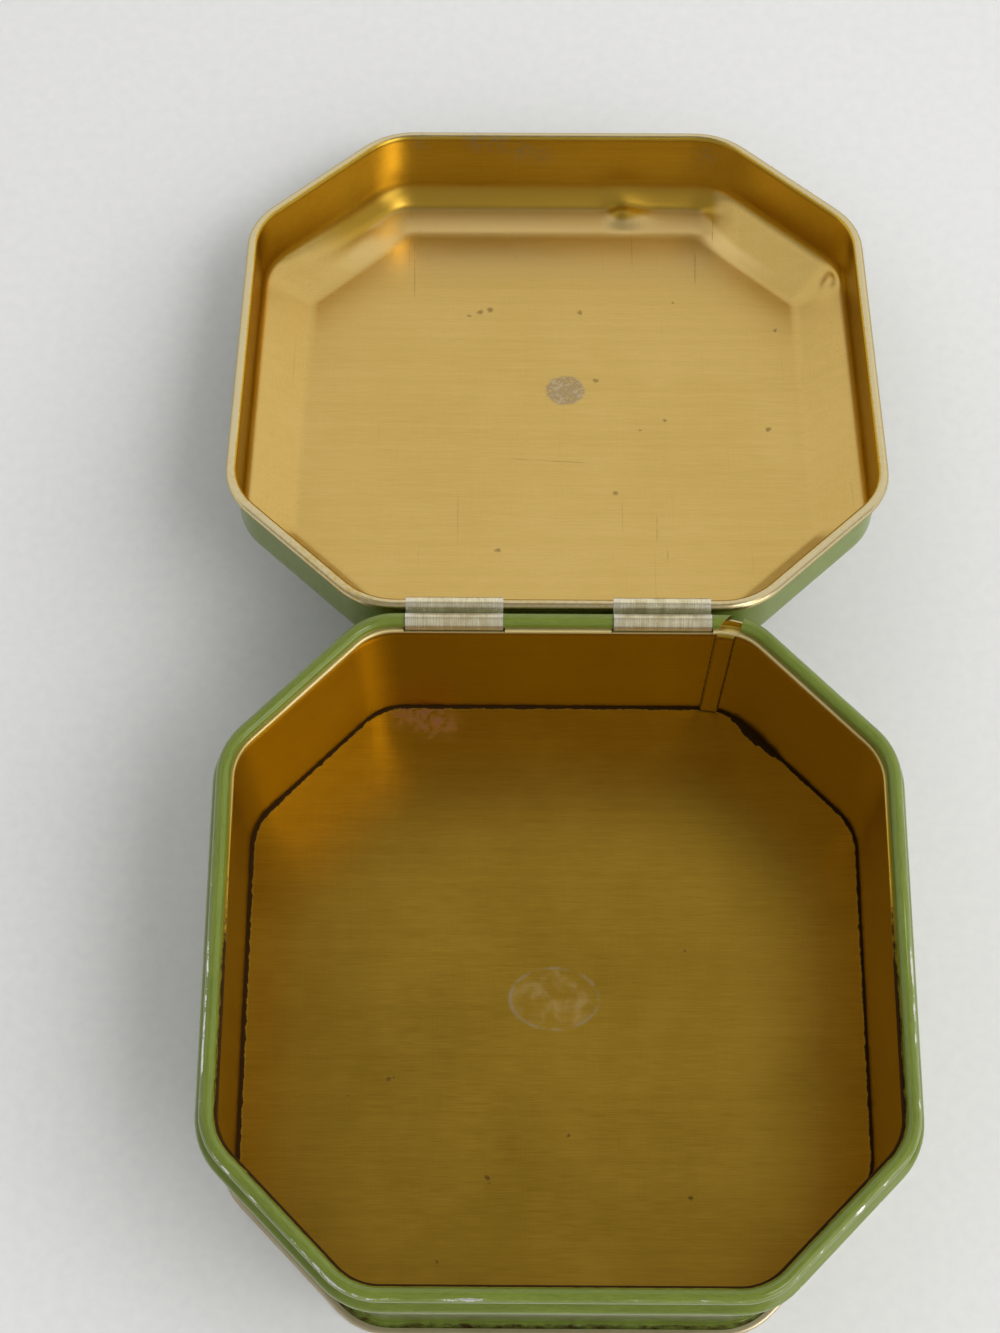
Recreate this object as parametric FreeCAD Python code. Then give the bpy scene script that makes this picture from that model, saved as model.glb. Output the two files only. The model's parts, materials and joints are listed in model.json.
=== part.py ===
import FreeCAD, Part
import math
import os

# Hinged tin box, square with cut corners: a bent tinplate wall with a rolled rim, a hemmed base plate,
# and a pressed lid that hangs on two straps rolled round the rims. Millimetres, +Z up, +Y to the
# hinges. The origin is the middle of the base, on the surface that the box stands on. The box is
# modelled open, with the lid lying back on that surface.

V = FreeCAD.Vector
X_AXIS = V(1, 0, 0)
Z_AXIS = V(0, 0, 1)

# Tinplate
wall_sheet = 0.30
base_sheet = 0.30
lid_sheet = 0.30
strap_sheet = 0.30

# Plan of the body, inside its wall
inside_width = 98.8       # across the flats
inside_depth = 37.0       # floor to ledge
corner_cut = 20.8         # leg of each cut corner
corner_round = 9.5        # bend of the wall at each corner

# Foot of the wall and hem of the base; reaches are outwards from the wall's inner face
seam_gap = 0.05           # round the foot, inside the hem that is folded over it
hem_reach = 2.30
hem_width = 1.04

# Rim of the wall; slopes are degrees from level
ridge_reach = 2.20
ridge_height = 0.90
ridge_slope = 30.0
lip_inset = 1.40
lip_height = 0.60
bead_diameter = 2.20
bead_offset = 0.10        # middle of the bead, outwards from the wall's inner face

# Lock seam of the wall, on the back where its right corner starts to bend
seam_before_bend = 0.50
seam_width = 3.2
seam_proud = 0.60
seam_round = 0.25
bead_cut_inset = 0.20     # the bead is cut away over the seam
bead_cut_width = 3.4

# Lid, measured on the middle of its sheet from the middle of its rolled rim
skirt_gap = 0.20          # between the skirt and the bead that it slips over
skirt_depth = 10.3
curl_diameter = 1.80
border_width = 8.40
border_rise = 4.60
shoulder_flat = 1.20      # narrow flat between the border and the skirt

# Hinge straps
strap_width = 14.8
strap_from_bend = 1.50    # from each strap to the corner's bend
strap_gap = 0.05          # running clearance round the bead and the lid's rim
strap_side_gap = 0.30     # beside the strap in its slots
strap_seat_gap = 0.05     # between a strap and the ridge, when the lid is shut
strap_swing = 27.0        # degrees that the straps turn from open to shut
strap_end = 62.0          # free end on the bead, degrees above level when open
strap_wrap = 280.0        # degrees that a strap wraps the lid's rim
slot_gap = 0.10           # between a strap and the ends of the slot in the ledge
lid_slot_height = 1.90
rest_gap = 0.05           # under the lid as it lies open

half = inside_width / 2
ledge_top = base_sheet + inside_depth
bend_start = half - corner_cut - corner_round * math.tan(math.pi / 8)


def sine(degrees):
    return math.sin(math.radians(degrees))


def cosine(degrees):
    return math.cos(math.radians(degrees))


class Strip:
    """A bent sheet in section, traced along its middle: straight runs with sharp folds, bends and a rim."""

    def __init__(self, x, z, heading, thickness):
        self.at = V(x, 0, z)
        self.heading = heading
        self.reach = thickness / 2
        self.ends = self.faces_here()
        self.left = []
        self.right = []

    def faces_here(self, forwards=0):
        """Points on the left and right faces, the right one moved on by a distance and the left one back."""
        along = V(cosine(self.heading), 0, sine(self.heading)) * forwards
        aside = V(-sine(self.heading), 0, cosine(self.heading)) * self.reach
        return self.at + aside - along, self.at - aside + along

    def run(self, length, fold=0):
        """Go straight on, then fold by an angle, to the left where it is positive."""
        self.at += V(cosine(self.heading), 0, sine(self.heading)) * length
        ends = self.faces_here(self.reach * math.tan(math.radians(fold / 2)))
        self.left.append(Part.LineSegment(self.ends[0], ends[0]))
        self.right.append(Part.LineSegment(self.ends[1], ends[1]))
        self.ends = ends
        self.heading += fold

    def centre(self, distance):
        return self.at + V(-sine(self.heading), 0, cosine(self.heading)) * distance

    def bend(self, radius, angle):
        """Turn by an angle, to the left where it is positive, on a radius to the sheet's middle."""
        centre = self.centre(math.copysign(radius, angle))
        turns = [FreeCAD.Rotation(V(0, -1, 0), angle * share) for share in (0.5, 1)]
        stops = [[centre + turn.multVec(end - centre) for turn in turns] for end in self.ends]
        self.left.append(Part.Arc(self.ends[0], *stops[0]))
        self.right.append(Part.Arc(self.ends[1], *stops[1]))
        self.at = centre + turns[1].multVec(self.at - centre)
        self.ends = (stops[0][1], stops[1][1])
        self.heading += angle

    def rim(self, diameter):
        """Finish in a round edge on the left, which closes on the sheet like a tight roll."""
        centre = self.centre(diameter / 2 - self.reach)
        roll = 360 - math.degrees(math.acos(1 - 4 * self.reach / diameter))
        turns = [FreeCAD.Rotation(V(0, -1, 0), roll * share) for share in (0.5, 1)]
        stops = [centre + turn.multVec(self.ends[1] - centre) for turn in turns]
        self.right.append(Part.Arc(self.ends[1], *stops))
        self.left[-1] = Part.LineSegment(self.left[-1].StartPoint, stops[1])
        self.ends = (stops[1], stops[1])

    def outline(self):
        curves = self.left + self.right[::-1]
        if self.ends[0] != self.ends[1]:
            curves.insert(len(self.left), Part.LineSegment(*self.ends))
        curves.append(Part.LineSegment(self.right[0].StartPoint, self.left[0].StartPoint))
        return Part.Wire([curve.toShape() for curve in curves])


def octagon(offset, z):
    """The plan's outline, moved outwards from the wall's inner face, with its corners rounded."""
    flat = half + offset
    end = flat - corner_cut - offset * (2 - math.sqrt(2))
    radius = corner_round + offset
    corners = []
    for quarter in range(4):
        turn = FreeCAD.Rotation(Z_AXIS, 90 * quarter)
        corners += [turn.multVec(V(flat, end, z)), turn.multVec(V(end, flat, z))]
    arcs = []
    for index, corner in enumerate(corners):
        before = (corners[index - 1] - corner).normalize()
        after = (corners[(index + 1) % len(corners)] - corner).normalize()
        setback = radius * math.tan(math.pi / 8)
        crown = (before + after).normalize() * radius * (1 / math.cos(math.pi / 8) - 1)
        arcs.append(Part.Arc(corner + before * setback, corner + crown, corner + after * setback))
    start = V(flat, 0, z)
    edges = [Part.LineSegment(start, arcs[0].StartPoint).toShape()]
    for index, arc in enumerate(arcs):
        following = arcs[index + 1].StartPoint if index + 1 < len(arcs) else start
        edges += [arc.toShape(), Part.LineSegment(arc.EndPoint, following).toShape()]
    return Part.Wire(edges)


def carried_round(strip):
    """Carry a section once round the plan."""
    pipe = Part.BRepOffsetAPI.MakePipeShell(octagon(0, 0))
    pipe.setBiNormalMode(Z_AXIS)
    pipe.add(strip.outline(), False, False)
    pipe.build()
    pipe.makeSolid()
    return pipe.shape()


def plate(offset, middle_z, thickness):
    return Part.Face(octagon(offset, middle_z - thickness / 2)).extrude(Z_AXIS * thickness)


def block(x0, x1, y0, y1, z0, z1):
    return Part.makeBox(x1 - x0, y1 - y0, z1 - z0, V(x0, y0, z0))


# Base plate: flat, with its edge folded up and over the foot of the wall
def base_plate():
    hem = Strip(half, base_sheet / 2, 0, base_sheet)
    hem.run(hem_reach - base_sheet / 2, 90)
    hem.run(base_sheet + wall_sheet + 2 * seam_gap, 90)
    hem.run(hem_width - base_sheet / 2)
    return carried_round(hem).fuse(plate(0, base_sheet / 2, base_sheet)).removeSplitter()


# Heights up the wall, on the middle of its sheet, and the middle of its bead
foot_z = base_sheet + seam_gap + wall_sheet / 2
foot_reach = hem_reach - base_sheet - seam_gap
ledge_z = ledge_top - wall_sheet / 2
ridge_over = ridge_reach - wall_sheet + lip_inset
ridge_under = ridge_reach - wall_sheet
ridge_top = ledge_z - lip_height - ridge_over * math.tan(math.radians(ridge_slope))
wall_top = ridge_top - ridge_height - ridge_under * math.tan(math.radians(ridge_slope))
bead_y = half + bead_offset
bead_z = ledge_top - wall_sheet + bead_diameter / 2

# Pivots of the straps: the bead's middle, and the lid rim's middle when shut and when open.
# The shut lid's rim, inside its straps, hangs just above the top slope of the ridge
curl_offset = bead_offset + bead_diameter / 2 + skirt_gap + curl_diameter / 2
ridge_edge_z = ridge_top + wall_sheet / 2 * math.tan(math.radians((90 - ridge_slope) / 2))
shut_distance = curl_diameter / 2 + strap_gap + strap_sheet + strap_seat_gap
shut_z = ridge_edge_z + (
    shut_distance - (curl_offset - ridge_reach) * sine(ridge_slope)
) / cosine(ridge_slope)
link = math.hypot(curl_offset - bead_offset, shut_z - bead_z)
shut_angle = math.degrees(math.atan2(shut_z - bead_z, curl_offset - bead_offset))
open_angle = shut_angle + strap_swing
open_y = bead_y + link * cosine(open_angle)
open_z = bead_z + link * sine(open_angle)

strap_on_bead = bead_diameter / 2 + strap_gap + strap_sheet / 2
strap_on_curl = curl_diameter / 2 + strap_gap + strap_sheet / 2
strap_middle = bend_start - strap_from_bend - strap_width / 2
strap_middles = (-strap_middle, strap_middle)
slot_width = strap_width + 2 * strap_side_gap


def slots(y0, y1, z0, z1, pin_diameter, pin_y, pin_z):
    """One slot for each strap, which leaves the round pin that the strap turns on."""
    cutters = []
    for middle in strap_middles:
        start = middle - slot_width / 2
        pin = Part.makeCylinder(pin_diameter / 2, slot_width, V(start, pin_y, pin_z), X_AXIS)
        cutters.append(block(start, start + slot_width, y0, y1, z0, z1).cut(pin))
    return cutters


def body_wall():
    strip = Strip(half + foot_reach, foot_z, 180, wall_sheet)
    strip.run(foot_reach - wall_sheet / 2, -90)
    strip.run(wall_top - foot_z, ridge_slope - 90)
    strip.run(ridge_under / cosine(ridge_slope), 90 - ridge_slope)
    strip.run(ridge_height, 90 - ridge_slope)
    strip.run(ridge_over / cosine(ridge_slope), ridge_slope - 90)
    strip.run(lip_height, -90)
    strip.run(bead_offset + lip_inset - wall_sheet / 2)
    strip.rim(bead_diameter)
    wall = carried_round(strip)

    # The lock seam stands proud inside, from the floor to the ridge
    seam_start = bend_start - seam_before_bend
    seam = block(
        seam_start, seam_start + seam_width, half - seam_proud, half + wall_sheet / 2, foot_z, wall_top
    )
    inner_edges = [
        edge for edge in seam.Edges
        if edge.BoundBox.ZLength > wall_top / 2 and edge.BoundBox.YMin < half
    ]
    wall = wall.fuse(seam.makeFillet(seam_round, inner_edges))

    bead_cut_start = seam_start + bead_cut_inset
    bead_cut = block(
        bead_cut_start, bead_cut_start + bead_cut_width, half - lip_inset, bead_y + bead_diameter,
        ledge_top, ledge_top + 2 * bead_diameter,
    )

    # Slots in the ledge let the straps pass under the bead
    strap_outside = strap_on_bead + strap_sheet / 2
    slot_reach = math.sqrt(strap_outside ** 2 - (bead_z - ledge_top) ** 2) + slot_gap
    ledge_slots = slots(
        bead_y - slot_reach, bead_y, ledge_top - wall_sheet - slot_gap, ledge_top + slot_gap,
        bead_diameter, bead_y, bead_z,
    )
    return wall.cut([bead_cut] + ledge_slots).removeSplitter()


# Lid: drawn shut, with its rim's middle on the shut pivot, then swung open about its rim
skirt_offset = curl_offset - curl_diameter / 2 + lid_sheet / 2
border_slope = math.degrees(math.atan2(border_rise, border_width))
panel_offset = skirt_offset - border_width
panel_height = skirt_depth + border_rise + lid_sheet / 2
panel_reach = 2 * half + curl_offset + panel_offset
open_tilt = (
    math.degrees(math.asin((open_z - rest_gap) / math.hypot(panel_reach, panel_height)))
    - math.degrees(math.atan2(panel_height, panel_reach))
)


def lid():
    panel_z = shut_z + skirt_depth + border_rise
    shoulder_fold = (90 - border_slope) / 2
    setback = shoulder_flat / 2 / cosine(shoulder_fold)
    strip = Strip(half + panel_offset - lid_sheet, panel_z, 0, lid_sheet)
    strip.run(lid_sheet, -border_slope)
    strip.run(math.hypot(border_width, border_rise) - setback, -shoulder_fold)
    strip.run(shoulder_flat, -shoulder_fold)
    strip.run(skirt_depth - setback)
    strip.rim(curl_diameter)
    shell = carried_round(strip).fuse(plate(panel_offset - lid_sheet, panel_z, lid_sheet))

    # Slots in the skirt free the rolled rim, which turns inside the straps
    skirt_slots = slots(
        half + skirt_offset - lid_sheet, half + skirt_offset + lid_sheet, shut_z, shut_z + lid_slot_height,
        curl_diameter, half + curl_offset, shut_z,
    )
    shell = shell.cut(skirt_slots).removeSplitter()
    shell.translate(V(0, open_y - half - curl_offset, open_z - shut_z))
    shell.rotate(V(0, open_y, open_z), X_AXIS, -180 - open_tilt)
    return shell


def hinge_strap(middle):
    """A strip from its free end on the bead, round under the bead, over the lid's rim and round it."""
    lean = math.degrees(math.acos((strap_on_bead + strap_on_curl) / link))
    strip = Strip(
        bead_y + strap_on_bead * cosine(strap_end), bead_z + strap_on_bead * sine(strap_end),
        strap_end + 90, strap_sheet,
    )
    strip.bend(strap_on_bead, 360 + open_angle - lean - strap_end)
    strip.run(link * sine(lean))
    strip.bend(strap_on_curl, -strap_wrap)
    section = Part.Face(strip.outline())
    section.rotate(V(0, 0, 0), Z_AXIS, 90)
    section.translate(X_AXIS * (middle - strap_width / 2))
    return section.extrude(X_AXIS * strap_width)


parts = {
    "base_plate": base_plate(),
    "body_wall": body_wall(),
    "left_hinge_strap": hinge_strap(strap_middles[0]),
    "right_hinge_strap": hinge_strap(strap_middles[1]),
    "lid": lid(),
}
os.makedirs("parts", exist_ok=True)
for name, shape in parts.items():
    shape.Solids[0].exportStep(f"parts/{name}.step")

print(f"bead pivot y {bead_y:.4f} z {bead_z:.4f}; rim pivot y {open_y:.4f} z {open_z:.4f}")
print(f"lid turns {180 + open_tilt:.4f} degrees, straps turn {strap_swing:.4f} the other way")
for name, shape in parts.items():
    print(name, shape.ShapeType, len(shape.Solids), shape.isValid(), round(shape.Volume, 2))
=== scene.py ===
import json

import bpy
import numpy as np
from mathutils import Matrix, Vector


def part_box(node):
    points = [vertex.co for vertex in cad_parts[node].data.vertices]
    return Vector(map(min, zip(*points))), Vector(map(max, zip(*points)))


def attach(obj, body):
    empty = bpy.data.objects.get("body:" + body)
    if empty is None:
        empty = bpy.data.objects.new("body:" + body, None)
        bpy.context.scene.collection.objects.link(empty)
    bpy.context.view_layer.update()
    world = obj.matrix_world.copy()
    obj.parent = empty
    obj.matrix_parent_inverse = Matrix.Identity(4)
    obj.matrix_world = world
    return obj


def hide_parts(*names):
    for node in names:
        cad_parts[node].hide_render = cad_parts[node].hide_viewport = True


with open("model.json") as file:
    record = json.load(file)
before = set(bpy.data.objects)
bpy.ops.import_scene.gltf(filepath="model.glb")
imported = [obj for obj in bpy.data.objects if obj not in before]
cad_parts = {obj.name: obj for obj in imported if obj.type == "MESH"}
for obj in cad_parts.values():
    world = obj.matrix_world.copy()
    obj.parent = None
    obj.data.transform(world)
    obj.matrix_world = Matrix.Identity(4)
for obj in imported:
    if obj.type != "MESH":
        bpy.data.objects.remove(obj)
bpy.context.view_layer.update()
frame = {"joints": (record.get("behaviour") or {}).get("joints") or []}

# Base plate: one disc of tinplate, gold lacquered on the side that becomes the floor.
# Its edge is folded up and back over the wall's foot in a tight hem that holds the two together,
# and dirt has packed into the crease where the floor meets the wall.
MM = 0.001
ridge_reach = 2.2
half_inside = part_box("body_wall")[1].x / MM - ridge_reach
corner_cut = 20.8
corner_bend = 9.5
sheet_thick = 0.3
half_thick = sheet_thick / 2
hem_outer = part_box("base_plate")[1].x / MM - half_inside
hem_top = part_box("base_plate")[1].z / MM
hem_width = 1.04
hem_fold = 0.34
edge_start = -3.0
edge_end = 1.2
edge_rows = 22
disc_middle = -9.0
floor_warp = 0.12
sharp_fold = np.radians(38)


def run_along(points):
    """The length walked along a line to each of its points: the sum of its steps up to there."""
    return np.append(0, np.cumsum(np.hypot(*np.diff(points, axis=0).T)))


def plan_table(side_steps, bend_steps):
    """The box from above, walked once round from its right side: columns of length, x, y and normal angle.
    Eight straight sides, whose normals turn 45 degrees from one to the next, meet in arcs, each about the
    point that lies one bend radius inside both of its sides."""
    turn = np.radians(45)
    side = np.arange(8)
    angle = turn * side
    inset = np.where(side % 2 == 0, half_inside, (2 * half_inside - corner_cut) / np.sqrt(2)) - corner_bend
    following = np.roll(inset, -1)
    centre = np.stack([inset * np.sin(angle + turn) - following * np.sin(angle),
                       following * np.cos(angle) - inset * np.cos(angle + turn)], -1) / np.sin(turn)
    sweep = angle[:, None] + np.linspace(0, turn, bend_steps + 1)
    arc = centre[:, None] + corner_bend * np.stack([np.cos(sweep), np.sin(sweep)], -1)
    start = np.roll(arc[:, -1], 1, axis=0)[:, None]
    run = start + (arc[:, :1] - start) * np.linspace(0, 1, side_steps + 1)[:-1, None]
    points = np.concatenate([run, arc[:, :-1]], 1).reshape(-1, 2)
    normal = np.concatenate([np.repeat(angle[:, None], side_steps, 1), sweep[:, :-1]], 1).ravel()
    points = np.vstack([points, points[:1]])
    normal = np.append(normal, 2 * np.pi)
    return np.column_stack([run_along(points), points, normal])


plan = plan_table(side_steps=36, bend_steps=8)
plan_length = plan[-1, 0]
all_round = plan[:-1, 0]


def on_plan(stations):
    """Where a walk of each length round the plan leads: its x, its y and the angle of the normal there,
    in straight steps between the points of the plan's table."""
    walked = np.mod(stations, plan_length)
    return [np.interp(walked, plan[:, 0], plan[:, column]) for column in (1, 2, 3)]


def carried(section, stations):
    """A section of (outward, up) points set on the plan's normal at each station: the station's place plus
    outward times its normal, at the height up."""
    x, y, turned = (values[:, None] for values in on_plan(stations))
    outward, up = section.T
    return np.stack([x + outward * np.cos(turned), y + outward * np.sin(turned),
                     np.broadcast_to(up, (len(stations), len(up)))], -1)


def bent_line(corners, bends, steps=6):
    """A line through corners, each inner one rounded: the curve from one setback to the next is the
    quadratic (1-t)^2 start + 2t(1-t) corner + t^2 end, and the ends of the line stay where they are."""
    corners = np.asarray(corners, float)
    before = corners[:-2] - corners[1:-1]
    after = corners[2:] - corners[1:-1]
    bends = np.asarray(bends, float)[:, None]
    start = corners[1:-1] + before / np.linalg.norm(before, axis=1, keepdims=True) * bends
    end = corners[1:-1] + after / np.linalg.norm(after, axis=1, keepdims=True) * bends
    t = np.linspace(0, 1, steps + 1)[:, None, None]
    curve = (1 - t) ** 2 * start + 2 * t * (1 - t) * corners[1:-1] + t ** 2 * end
    return np.vstack([corners[:1], curve.transpose(1, 0, 2).reshape(-1, 2), corners[-1:]])


def faces_of(line, thick):
    """The two faces of a sheet about its centre line: half a thickness to the left and to the right,
    along the normal of the chord between each point's neighbours."""
    chord = np.gradient(line, axis=0)
    chord = chord / np.linalg.norm(chord, axis=1, keepdims=True)
    left = np.stack([-chord[:, 1], chord[:, 0]], -1) * thick / 2
    return line + left, line - left


def grid_quads(rows, columns, wrap_rows, wrap_columns):
    """Quads between neighbours of a grid that is numbered row by row, round the back where it wraps."""
    number = np.arange(rows * columns).reshape(rows, columns)
    if wrap_rows:
        number = np.vstack([number, number[:1]])
    if wrap_columns:
        number = np.hstack([number, number[:, :1]])
    corners = [number[:-1, :-1], number[1:, :-1], number[1:, 1:], number[:-1, 1:]]
    return np.stack(corners, -1).reshape(-1, 4)


def shell(points, quads, caps=(), **values):
    """A closed skin with a value for each point. Its quads are turned round if they enclose a negative
    volume, a sixth of the sum of each corner triangle's triple product."""
    points = points.reshape(-1, 3)
    a, b, c, d = (points[quads[:, k]] for k in range(4))
    volume = np.einsum("ij,ij->", a, np.cross(b, c)) + np.einsum("ij,ij->", a, np.cross(c, d))
    if volume < 0:
        quads = quads[:, ::-1]
        caps = [cap[::-1] for cap in caps]
    values = {name: np.broadcast_to(value, points.shape[:1] + np.shape(value)[1:])
              for name, value in values.items()}
    return {"points": points, "quads": quads, "caps": [list(map(int, cap)) for cap in caps], **values}


def round_disc(left, right, ring_scales, lift=None):
    """A formed disc: rings that shrink to its middle on both faces, joined by the two faces of its edge.
    Rows run from the middle of the left face, over the edge, to the middle of the right face."""
    edge = carried(np.vstack([left, right[::-1]]), all_round).transpose(1, 0, 2)
    scales = np.asarray(ring_scales)[:, None, None]
    flat = np.array([1, 1, 0])
    ring_left = edge[0] * (scales * flat + (1 - flat))
    ring_right = edge[-1] * (scales[::-1] * flat + (1 - flat))
    grid = np.concatenate([ring_left, edge, ring_right])
    if lift is not None:
        grid[..., 2] += lift(grid[..., 0], grid[..., 1])
    rows, columns = grid.shape[:2]
    quads = grid_quads(rows, columns, False, True)
    first = np.arange(columns)
    last = first[::-1] + (rows - 1) * columns
    return grid, quads, [first, last]


def down_rows(middle, left, right, rings):
    """A value for each row of a formed disc: the middle's on the rings of both faces, and between them the
    edge's own, out along the left face and back along the right one."""
    flat = np.full(rings, middle)
    return np.concatenate([flat, left, right[::-1], flat])


def add_piece(name, shells, finish):
    """One mesh of several closed skins, from millimetres to metres, smooth apart from its sharp edges."""
    points = np.concatenate([part["points"] for part in shells]) * MM
    offsets = np.cumsum([0] + [len(part["points"]) for part in shells])
    faces = []
    for part, offset in zip(shells, offsets):
        faces += (part["quads"] + offset).tolist()
        faces += [[corner + int(offset) for corner in cap] for cap in part["caps"]]
    mesh = bpy.data.meshes.new(name)
    mesh.from_pydata(points.tolist(), [], faces)
    for value in ("inside", "wear", "dirt"):
        attribute = mesh.attributes.new(value, "FLOAT", "POINT")
        amounts = np.concatenate([part[value] for part in shells])
        attribute.data.foreach_set("value", amounts.astype(np.float32))
    attribute = mesh.attributes.new("sheet", "FLOAT_VECTOR", "POINT")
    sheet = np.concatenate([part["sheet"] for part in shells])
    attribute.data.foreach_set("vector", sheet.astype(np.float32).ravel())
    mesh.shade_smooth()
    mesh.set_sharp_from_angle(angle=sharp_fold)
    mesh.materials.append(finish)
    piece = bpy.data.objects.new(name, mesh)
    bpy.context.scene.collection.objects.link(piece)
    return piece


class Socket:
    """A value in a material's node tree. Sums on it add Math nodes, and node() adds any other node."""

    def __init__(self, tree, output=None):
        self.tree = tree
        self.output = output

    def node(self, kind, settings, sockets, output=0):
        made = self.tree.nodes.new(kind)
        for name, value in settings.items():
            setattr(made, name, value)
        self.feed(made, sockets)
        return Socket(self.tree, made.outputs[output])

    def feed(self, made, sockets):
        for name, value in sockets.items():
            if isinstance(value, Socket):
                self.tree.links.new(value.output, made.inputs[name])
            else:
                made.inputs[name].default_value = value

    def sum(self, operation, *values):
        return self.node("ShaderNodeMath", {"operation": operation}, dict(enumerate(values)))

    def __add__(self, other):
        return self.sum("ADD", self, other)

    __radd__ = __add__

    def __mul__(self, other):
        return self.sum("MULTIPLY", self, other)

    __rmul__ = __mul__

    def __sub__(self, other):
        return self.sum("SUBTRACT", self, other)

    def __rsub__(self, other):
        return self.sum("SUBTRACT", other, self)

    def __abs__(self):
        return self.sum("ABSOLUTE", self)

    def either(self, other):
        return self.sum("MAXIMUM", self, other)

    def ramp(self, low, high):
        """Smoothly from 0 at low to 1 at high, or down where high is the lower of the two."""
        return self.node("ShaderNodeMapRange", {"interpolation_type": "SMOOTHSTEP"},
                         {"Value": self, "From Min": low, "From Max": high})

    def vector(self, operation, other):
        return self.node("ShaderNodeVectorMath", {"operation": operation}, {0: self, 1: other})

    def measure(self, operation, other=(0.0, 0.0, 0.0)):
        """A number from this vector and another: a length, a distance or a dot product."""
        return self.node("ShaderNodeVectorMath", {"operation": operation}, {0: self, 1: other}, "Value")

    def axes(self):
        """The x, y and z of this vector."""
        outputs = self.node("ShaderNodeSeparateXYZ", {}, {"Vector": self}).output.node.outputs
        return [Socket(self.tree, output) for output in outputs]

    def noise(self, stretch, detail=3.0, roughness=0.55):
        """Cloudy values about a half; stretch is how often they change per millimetre along x, y and z."""
        return self.node("ShaderNodeTexNoise", {}, {"Vector": self.vector("MULTIPLY", stretch), "Scale": 1.0,
                                                    "Detail": detail, "Roughness": roughness}, "Fac")

    def mix(self, first, second):
        """From the first colour to the second as this value goes from 0 to 1."""
        return self.node("ShaderNodeMix", {"data_type": "RGBA"}, {0: self, 6: first, 7: second}, 2)

    def attribute(self, name, output="Fac"):
        return self.node("ShaderNodeAttribute", {"attribute_name": name}, {}, output)

    def bump(self, strength, depth):
        return self.node("ShaderNodeBump", {}, {"Strength": strength, "Distance": depth * MM, "Height": self})

    def spots(self, places, edge):
        """Covers each (x, y, z, radius) with a ragged spot that fades out over its edge's width. The noise
        that makes it ragged moves every place by about a half, so the middles move with it."""
        moved = 0.5
        torn = self.node("ShaderNodeTexNoise", {}, {"Vector": self, "Scale": 0.9, "Detail": 4.0}, "Color")
        ragged = self.vector("ADD", torn)
        covered = None
        for x, y, z, radius in places:
            away = ragged.measure("DISTANCE", (x + moved, y + moved, z + moved))
            spot = away.ramp(radius + edge, radius - edge)
            covered = spot if covered is None else covered.either(spot)
        return covered

    def strokes(self, lines, width):
        """Covers each straight scratch from (x0, y0) to (x1, y1): near its line and between its ends, where
        it fades out over two millimetres."""
        fade = 2.0
        covered = None
        for x0, y0, x1, y1 in lines:
            length = float(np.hypot(x1 - x0, y1 - y0))
            way_x = (x1 - x0) / length
            way_y = (y1 - y0) / length
            from_start = self.vector("SUBTRACT", (x0, y0, 0.0))
            along = from_start.measure("DOT_PRODUCT", (way_x, way_y, 0.0))
            across = from_start.measure("DOT_PRODUCT", (-way_y, way_x, 0.0))
            inside = abs(along - length / 2).ramp(length / 2, length / 2 - fade)
            stroke = abs(across).ramp(width, 0.0) * inside
            covered = stroke if covered is None else covered.either(stroke)
        return covered


def new_finish(name):
    """A material, its shader, and the place on the flat sheet before it was formed, in millimetres."""
    material = bpy.data.materials.new(name)
    material.use_nodes = True
    shader = material.node_tree.nodes["Principled BSDF"]
    return material, shader, Socket(material.node_tree).attribute("sheet", "Vector")


floor_light = (0.64, 0.390, 0.046, 1)
floor_deep = (0.50, 0.293, 0.026, 1)
hem_light = (0.74, 0.65, 0.45, 1)
hem_deep = (0.52, 0.43, 0.25, 1)
hem_bare = (0.66, 0.63, 0.57, 1)
gold_edge = (0.60, 0.53, 0.30, 1)
dirt_colour = (0.034, 0.015, 0.004, 1)
speck_colour = (0.07, 0.035, 0.012, 1)
ring_colour = (0.62, 0.52, 0.34, 1)
rust_colour = (0.46, 0.19, 0.10, 1)
ring_radius = 7.0
ring_squash = 1.42
floor_specks = [(x, y, 0.0, radius) for x, y, radius in (
    (-26.0, -13.0, 0.42), (-25.3, -12.7, 0.3), (-32.3, -15.4, 0.3), (-10.4, -28.1, 0.4),
    (-10.1, -28.9, 0.25), (2.1, -21.5, 0.32), (21.0, -31.0, 0.3), (-18.0, -41.0, 0.25), (21.0, 8.0, 0.2))]
rust_spots = ((-20.5, 47.6, 0.0, 3.2), (-24.6, 48.0, 0.0, 2.2), (-17.5, 46.2, 0.0, 1.6))
dirt_lumps = ((28.6, 48.8, 33.4, 44.0), (32.4, 45.0, 37.4, 40.0))
dirt_heap = ((30.4, 46.8, 35.0, 42.2),)


def gold_lacquer(place):
    """Rolled tinplate under gold lacquer: fine lines along the sheet and fainter ones across it, in cloudy
    patches. Gives the tone, from 0 for deep to 1 for light, the roughness and the height of the lines."""
    along = place.noise((0.20, 6.5, 6.5), 3.0, 0.65)
    across = place.noise((6.5, 0.15, 0.15), 2.0, 0.6)
    broad = place.noise((0.012, 0.8, 0.8), 2.0)
    cloud = place.noise((0.045, 0.045, 0.045), 3.0)
    lines = along * 0.82 + across * 0.18
    tone = (lines - 0.5) * 1.7 + (cloud - 0.5) * 0.9 + (broad - 0.5) * 0.5 + 0.52
    roughness = 0.32 + (lines - 0.5) * 0.16 + (cloud - 0.5) * 0.12
    return tone.ramp(0.0, 1.0), roughness, lines


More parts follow.
